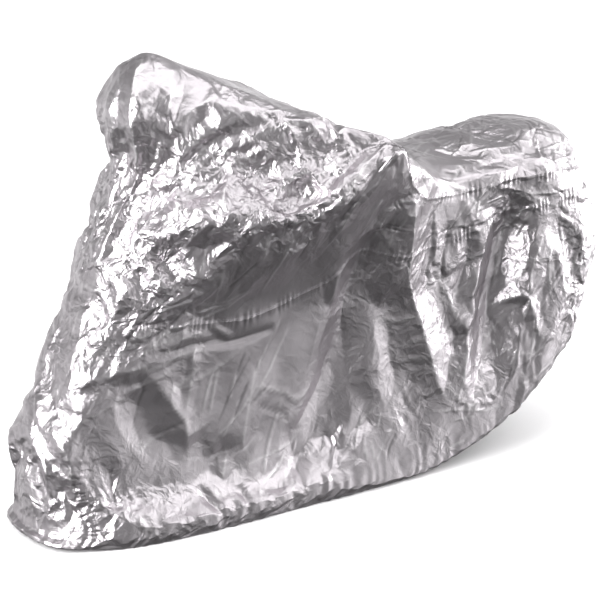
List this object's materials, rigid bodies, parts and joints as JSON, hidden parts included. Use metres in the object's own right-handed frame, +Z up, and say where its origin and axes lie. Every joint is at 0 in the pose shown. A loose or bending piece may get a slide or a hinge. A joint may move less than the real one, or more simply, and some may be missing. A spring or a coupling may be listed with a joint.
{
  "type": "motorcycle cover",
  "caption": "Fitted motorcycle cover of thin silver-coated cloth, draped over screen, grips and seat, open below with an elastic hem raised at the tail.",
  "frame": {"origin": "on the inner face of the top, over the middle of the seat, where the cover is held up", "axes": "+X from the front to the tail, +Y towards the right-hand side, +Z up"},
  "size_m": [1.8932, 0.862, 1.2944],
  "materials": {
    "coated_cloth": "silver-coated polyester, crumpled, with a soft metallic shine"
  },
  "bodies": {
    "root": {"centre_panel": "coated_cloth", "left_upper_panel": "coated_cloth", "left_lower_panel": "coated_cloth", "right_upper_panel": "coated_cloth", "right_lower_panel": "coated_cloth"}
  },
  "joints": []
}
